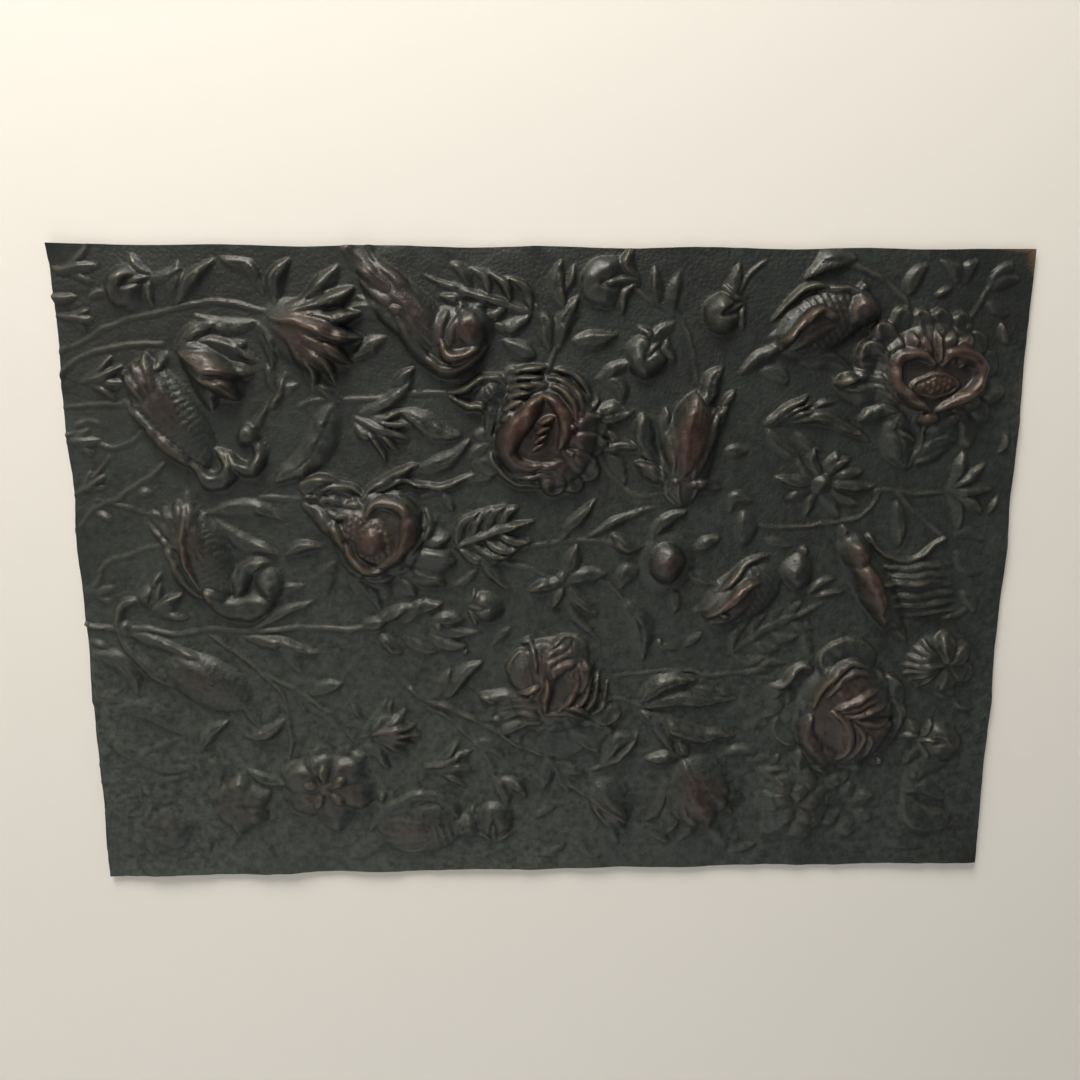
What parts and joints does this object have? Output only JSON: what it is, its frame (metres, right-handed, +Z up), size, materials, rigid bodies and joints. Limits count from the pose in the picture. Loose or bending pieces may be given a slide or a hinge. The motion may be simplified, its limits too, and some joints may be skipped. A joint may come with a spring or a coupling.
{
  "type": "metal wall plaque",
  "caption": "Rectangular wall plaque of dark patinated copper sheet, beaten in relief with flowers, fruit, leaves and birds on a matted ground",
  "frame": {"origin": "middle of the flat back, where the sheet lies against a wall", "axes": "X across the plaque, +Z up the plaque as its plants grow, the relief faces -Y and the back faces +Y"},
  "size_m": [0.31, 0.0144, 0.45],
  "materials": {
    "patinated_copper": "near-black green-brown patina on beaten copper, rubbed to red-brown on the high relief"
  },
  "bodies": {
    "root": {"relief_panel": "patinated_copper"}
  },
  "joints": []
}
